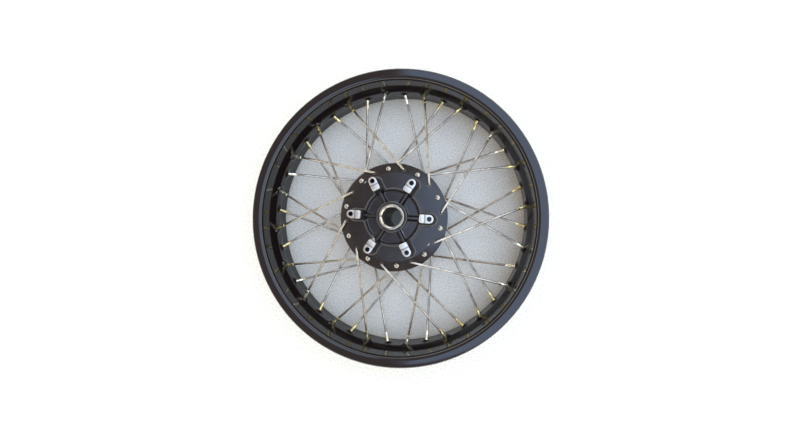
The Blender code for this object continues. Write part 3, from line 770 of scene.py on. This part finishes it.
# ---- Spokes -------------------------------------------------------------------------------------
# Stainless wire, 3.6 mm thick, with a cold-forged domed head and an elbow. Half of each flange's
# spokes pass through it from below and half from above, and neighbours cross on the way out.
WIRE_SIDES = 14
ELBOW_BEND = 0.0034
ELBOW_STEPS = 7
HEAD_DOME = 0.72
HEAD_SHOULDER = 0.90
HEAD_SHOULDER_RADIUS = 0.97
HEAD_UNDER_RADIUS = 0.90
NECK_RADIUS = 1.35
NECK_LENGTH = 0.0003
NECK_END = 0.0012
THREAD_LAP = 0.001
PIECE_CREASE = 40
STAINLESS = (0.47, 0.435, 0.37, 1)
STAINLESS_DULL = (0.13, 0.11, 0.085, 1)


def swept(name, stations):
    """A closed round solid through (place, radius) stations, turned along its way without twist."""
    points, faces = [], []
    side = None
    for number, (place, radius) in enumerate(stations):
        before = stations[max(number - 1, 0)][0]
        after = stations[min(number + 1, len(stations) - 1)][0]
        way = (after - before).normalized()
        side = (way.orthogonal() if side is None else side - way * side.dot(way)).normalized()
        other = way.cross(side)
        for step in range(WIRE_SIDES):
            angle = 2 * pi * step / WIRE_SIDES
            points.append(place + (side * cos(angle) + other * sin(angle)) * radius)
            if number:
                here = number * WIRE_SIDES + step
                following = number * WIRE_SIDES + (step + 1) % WIRE_SIDES
                faces.append((here - WIRE_SIDES, following - WIRE_SIDES, following, here))
    return mesh_of(name, points, faces + end_faces(len(points), WIRE_SIDES))


stainless = finish_from(
    "stainless_wire", metal,
    {
        "Metal": STAINLESS, "Dull": STAINLESS_DULL, "Dull amount": 0.8, "Patch size": 60.0,
        "Least roughness": 0.14, "Most roughness": 0.30, "Mark size": 1300.0, "Mark height": 0.05,
        "Dirt amount": 0.0,
    },
    Metallic=1.0,
)
for label, spokes in SPOKE_SETS.items():
    towards_head = 1 if spokes["head"] > spokes["elbow"].z else -1
    up = Vector((0, 0, towards_head))
    elbow, way = spokes["elbow"], spokes["way"]
    crown = Vector((SPOKE_CIRCLE, 0, spokes["head"] + towards_head * HEAD_HEIGHT))
    stations = []
    for bend in (2, 20, 40, 60, 80):
        drop = HEAD_HEIGHT * HEAD_DOME * (1 - cos(radians(bend)))
        stations.append((crown - up * drop, HEAD_RADIUS * sin(radians(bend))))
    stations.append((crown - up * HEAD_HEIGHT * HEAD_DOME, HEAD_RADIUS))
    stations.append((crown - up * HEAD_HEIGHT * HEAD_SHOULDER, HEAD_RADIUS * HEAD_SHOULDER_RADIUS))
    stations.append((crown - up * HEAD_HEIGHT, HEAD_RADIUS * HEAD_UNDER_RADIUS))
    stations.append((crown - up * (HEAD_HEIGHT + NECK_LENGTH), SPOKE_RADIUS * NECK_RADIUS))
    stations.append((crown - up * (HEAD_HEIGHT + NECK_END), SPOKE_RADIUS))
    for step in range(ELBOW_STEPS + 1):
        t = step / ELBOW_STEPS
        before, after = elbow + up * ELBOW_BEND, elbow + way * ELBOW_BEND
        bent = before * (1 - t) ** 2 + elbow * (2 * t * (1 - t)) + after * t**2
        stations.append((bent, SPOKE_RADIUS))
    reach = (spokes["seat"] - elbow).length
    for share in (0.25, 0.5, 0.75):
        stations.append((elbow + way * reach * share, SPOKE_RADIUS))
    stations.append((spokes["seat"] + way * THREAD_LAP, SPOKE_RADIUS))
    lift = Vector((0, 0, MIDDLE))
    wire = swept("spoke_" + label, [(place + lift, size) for place, size in stations])
    for number, angle in enumerate(spokes["angles"]):
        spoke = new_piece(f"wire_{label}_{number + 1:02d}", wire, stainless, PIECE_CREASE)
        spoke.matrix_world = Matrix.Rotation(radians(angle), 4, "Z")
        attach(spoke, "wheel")
        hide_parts(f"spoke_{label}_{number + 1:02d}")

# ---- Nipples ------------------------------------------------------------------------------------
# Long brass nuts with a yellow zinc coat, one on the threaded end of each spoke. Their heads sit
# in the rim's dimples, and four flats near the tip take the spoke key. Some have gone pale.
NIPPLE_RADIUS = 0.0028
NIPPLE_INWARD = 0.0165
NIPPLE_HEAD_RADIUS = 0.0042
NIPPLE_HEAD_LIFT = 0.0020
NIPPLE_HEAD_HEIGHT = 0.0025
NIPPLE_SIDES = 24
TIP_RADIUS = 0.0021
TIP_ROUND = (0.0005, 0.0026)
TIP_LENGTH = 0.0009
FLATS_ACROSS = 0.0023
FLATS_END = -0.0085
FLATS_FADE = -0.0079
FLATS_GONE = -0.0075
NIPPLE_HEAD_FLARE = 0.0012
NIPPLE_HEAD_EDGE = 0.0004
SLOT_HALF = 0.0006
SLOT_REACH = 0.006
SLOT_DEPTH = 0.0010
ZINC = (0.62, 0.50, 0.22, 1)
ZINC_GREEN = (0.40, 0.38, 0.20, 1)
ZINC_PALE = (0.72, 0.70, 0.58, 1)


def nipple_mesh(name, spokes):
    """One nipple in place on the spoke at angle zero of its set."""
    wall = WELL_WALL + NIPPLE_HEAD_LIFT
    # Each ring has its place along the spoke, its radius, and how far its flats are pressed in.
    rings = [
        (-NIPPLE_INWARD, SPOKE_RADIUS, 0), (-NIPPLE_INWARD, TIP_RADIUS, 0),
        (-NIPPLE_INWARD + TIP_ROUND[0], TIP_ROUND[1], 0.4),
        (-NIPPLE_INWARD + TIP_LENGTH, NIPPLE_RADIUS, 1), (FLATS_END, NIPPLE_RADIUS, 1),
        (FLATS_FADE, NIPPLE_RADIUS, 0.3), (FLATS_GONE, NIPPLE_RADIUS, 0),
        (wall - NIPPLE_HEAD_FLARE, NIPPLE_RADIUS, 0), (wall, NIPPLE_HEAD_RADIUS - 0.0002, 0),
        (wall + NIPPLE_HEAD_EDGE, NIPPLE_HEAD_RADIUS, 0),
    ]
    for rise, share in ((0.55, 0.95), (0.85, 0.75), (1.0, 0.4)):
        rings.append((wall + NIPPLE_HEAD_HEIGHT * rise, NIPPLE_HEAD_RADIUS * share, 0))
    lie = spokes["way"].to_track_quat("Z", "Y").to_matrix()
    points, faces = [], []
    for number, (out, radius, flats) in enumerate(rings):
        for step in range(NIPPLE_SIDES):
            angle = 2 * pi * step / NIPPLE_SIDES
            flat = min(FLATS_ACROSS / max(abs(cos(angle)), abs(sin(angle)), 0.01), radius)
            size = radius + (flat - radius) * flats
            points.append(spokes["seat"] + lie @ Vector((size * cos(angle), size * sin(angle), out)))
            if number:
                here = number * NIPPLE_SIDES + step
                following = number * NIPPLE_SIDES + (step + 1) % NIPPLE_SIDES
                faces.append((here - NIPPLE_SIDES, following - NIPPLE_SIDES, following, here))
    faces += end_faces(len(points), NIPPLE_SIDES)
    lift = Vector((0, 0, MIDDLE))
    body = mesh_of(name, [point + lift for point in points], faces)
    slot_points = []
    top = wall + NIPPLE_HEAD_HEIGHT
    for out in (top - SLOT_DEPTH, top + SLOT_DEPTH):
        for x, y in ((-1, -1), (1, -1), (1, 1), (-1, 1)):
            corner = lie @ Vector((x * SLOT_HALF, y * SLOT_REACH, out))
            slot_points.append(spokes["seat"] + corner + lift)
    box = [(0, 1, 2, 3), (4, 5, 6, 7), (0, 1, 5, 4), (1, 2, 6, 5), (2, 3, 7, 6), (3, 0, 4, 7)]
    return combined(body, [("DIFFERENCE", mesh_of("slot", slot_points, box))])


yellow_zinc = finish_from(
    "yellow_zinc", metal,
    {
        "Metal": ZINC, "Dull": ZINC_GREEN, "Dull amount": 0.8, "Patch size": 160.0,
        "Least roughness": 0.16, "Most roughness": 0.34, "Mark size": 1500.0, "Mark height": 0.10,
    },
    Metallic=1.0,
)
pale_zinc = finish_from(
    "pale_zinc", metal,
    {
        "Metal": ZINC_PALE, "Dull": ZINC, "Dull amount": 0.6, "Patch size": 160.0,
        "Least roughness": 0.16, "Most roughness": 0.34, "Mark size": 1500.0, "Mark height": 0.10,
    },
    Metallic=1.0,
)
for label, spokes in SPOKE_SETS.items():
    shared = nipple_mesh("nipple_" + label, spokes)
    pale = shared.copy()
    for number, angle in enumerate(spokes["angles"]):
        gone_pale = (number * 7 + len(label)) % 5 < 2
        mesh, finish = (pale, pale_zinc) if gone_pale else (shared, yellow_zinc)
        nipple = new_piece(f"nipple_{label}_{number + 1:02d}", mesh, finish, PIECE_CREASE)
        nipple.matrix_world = Matrix.Rotation(radians(angle), 4, "Z")
        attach(nipple, "wheel")

# ---- Axle fittings ------------------------------------------------------------------------------
# A turned steel collar stands in each end of the bore, inside a rubber seal. Between them the
# inner races of the two bearings and a distance tube make one straight 30 mm bore for the axle.
AXLE_RADIUS = 0.0150
COLLAR_OUTSIDE = 0.0195
COLLAR_STAND = 0.0005
COLLAR_MOUTH = 0.0022
FAR_COLLAR_MOUTH = 0.0016
BEARING_OUTSIDE = 0.0210
BEARING_WIDTH = 0.0070
RACE_OUTSIDE = 0.0169
TUBE_OUTSIDE = 0.0170
SEAL_HEIGHT = 0.0034
SEAL_SUNK = 0.0006
RACE_EDGE_OUTSIDE = 0.0004
RACE_EDGE_BORE = 0.0005
STEEL = (0.38, 0.355, 0.31, 1)
STEEL_DULL = (0.24, 0.215, 0.175, 1)
TUBE_GREY = (0.42, 0.39, 0.34, 1)
TUBE_GREASE = (0.20, 0.17, 0.13, 1)
near_low = NEAR_SHOULDER + GAP
near_high = near_low + BEARING_WIDTH
far_high = FAR_SHOULDER - GAP
far_low = far_high - BEARING_WIDTH
seal_top = BOSS_END - SEAL_SUNK
seal_bottom = FAR_BOSS_END + SEAL_SUNK
waist = seal_top - SEAL_HEIGHT - SEAL_SUNK
far_waist = seal_bottom + SEAL_HEIGHT + SEAL_SUNK
foot = RACE_OUTSIDE - GAP
collar_top = BOSS_END + COLLAR_STAND
collar_bottom = FAR_BOSS_END - COLLAR_STAND
turned_steel = finish_from(
    "turned_steel", metal,
    {
        "Metal": STEEL, "Dull": STEEL_DULL, "Dull amount": 0.4, "Patch size": 60.0,
        "Least roughness": 0.18, "Most roughness": 0.32, "Mark size": 1800.0, "Mark height": 0.06,
        "Dirt amount": 0.3,
    },
    Metallic=1.0,
)
tube_steel = finish_from(
    "greased_steel", metal,
    {
        "Metal": TUBE_GREY, "Dull": TUBE_GREASE, "Dull amount": 0.7, "Patch size": 110.0,
        "Least roughness": 0.35, "Most roughness": 0.55, "Mark size": 900.0, "Mark height": 0.15,
    },
    Metallic=1.0,
)


def inner_race(low, high):
    """The section of an inner race between two heights."""
    return [
        (RACE_OUTSIDE, high, RACE_EDGE_OUTSIDE), (RACE_OUTSIDE, low, RACE_EDGE_OUTSIDE),
        (AXLE_RADIUS, low, RACE_EDGE_BORE), (AXLE_RADIUS, high, RACE_EDGE_BORE),
    ]


FITTINGS = {
    "collar_near": ("bright_steel", turned_steel, [
        (COLLAR_OUTSIDE, collar_top, 0.0006), (COLLAR_OUTSIDE, waist, 0.0003), (foot, waist, 0.0003),
        (foot, near_high + GAP, 0.0003), (AXLE_RADIUS, near_high + GAP, 0),
        (AXLE_RADIUS, collar_top - COLLAR_MOUTH, 0.0002),
        (AXLE_RADIUS + COLLAR_MOUTH, collar_top, 0.0002),
    ]),
    "collar_far": ("bright_steel", turned_steel, [
        (foot, far_low - GAP, 0.0003), (foot, far_waist, 0.0003), (COLLAR_OUTSIDE, far_waist, 0.0003),
        (COLLAR_OUTSIDE, collar_bottom, 0.0006), (AXLE_RADIUS + FAR_COLLAR_MOUTH, collar_bottom, 0.0002),
        (AXLE_RADIUS, collar_bottom + FAR_COLLAR_MOUTH, 0.0002), (AXLE_RADIUS, far_low - GAP, 0),
    ]),
    "distance_tube": ("bright_steel", tube_steel, [
        (TUBE_OUTSIDE, near_low - GAP, 0.0003), (TUBE_OUTSIDE, far_high + GAP, 0.0003),
        (AXLE_RADIUS, far_high + GAP, 0.0005), (AXLE_RADIUS, near_low - GAP, 0.0005),
    ]),
    "bearing_inner_race_near": ("bearing_steel", turned_steel, inner_race(near_low, near_high)),
    "bearing_inner_race_far": ("bearing_steel", turned_steel, inner_race(far_low, far_high)),
}
for node, (slot, finish, corners) in FITTINGS.items():
    piece = new_piece("turned_" + node, turned(node, rounded(corners)), finish, PIECE_CREASE)
    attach(piece, "axle_sleeve")
    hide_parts(node)

# ---- Seals, bearings and circlip ----------------------------------------------------------------
# A nitrile seal with a rounded lip closes each bearing in. The near bearing is held down by a
# circlip. Races, balls and cages stay as they were made, in their own metals.
RUBBER = (0.018, 0.017, 0.016, 1)
RUBBER_DUST = (0.16, 0.14, 0.12, 1)
RUBBER_WORN_EDGE_HIGHLIGHT = (0.05, 0.05, 0.05, 1)
CAGE_BRASS = (0.72, 0.52, 0.22, 1)
CAGE_BRASS_DULL = (0.36, 0.24, 0.10, 1)
SPRING_STEEL = (0.16, 0.16, 0.17, 1)
SPRING_STEEL_DULL = (0.07, 0.06, 0.06, 1)
# The rubber's lighter edges are partly rubbed wear and partly a painted highlight.
rubber = finish_from(
    "seal_rubber", painted,
    {
        "Paint": RUBBER, "Dust": RUBBER_DUST, "Dust amount": 0.4, "Edge": RUBBER_WORN_EDGE_HIGHLIGHT,
        "Edge amount": 0.4, "Least roughness": 0.55, "Most roughness": 0.75,
        "Grain size": 1400.0, "Grain height": 0.15,
    },
)
for label, low in (("near", seal_top - SEAL_HEIGHT), ("far", seal_bottom)):
    corners = [
        (BEARING_OUTSIDE, low + SEAL_HEIGHT, 0.0004), (BEARING_OUTSIDE, low, 0.0004),
        (COLLAR_OUTSIDE + GAP, low, 0.0004), (COLLAR_OUTSIDE + GAP, low + SEAL_HEIGHT, 0.0005),
    ]
    seal = new_piece("lip_seal_" + label, turned("lip_seal", rounded(corners)), rubber, PIECE_CREASE)
    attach(seal, "wheel")
    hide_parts("seal_" + label)

cage_brass = finish_from(
    "cage_brass", metal,
    {
        "Metal": CAGE_BRASS, "Dull": CAGE_BRASS_DULL, "Dull amount": 0.5, "Patch size": 300.0,
        "Least roughness": 0.25, "Most roughness": 0.45, "Mark size": 1500.0, "Mark height": 0.1,
    },
    Metallic=1.0,
)
spring_steel = finish_from(
    "spring_steel", metal,
    {
        "Metal": SPRING_STEEL, "Dull": SPRING_STEEL_DULL, "Dull amount": 0.6, "Patch size": 300.0,
        "Least roughness": 0.30, "Most roughness": 0.50, "Mark size": 1500.0, "Mark height": 0.1,
    },
    Metallic=1.0,
)
for node, finish in {
    "bearing_outer_race_near": turned_steel, "bearing_outer_race_far": turned_steel,
    "bearing_cage_near": cage_brass, "bearing_cage_far": cage_brass, "circlip": spring_steel,
}.items():
    for material_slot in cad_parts[node].material_slots:
        material_slot.material = finish
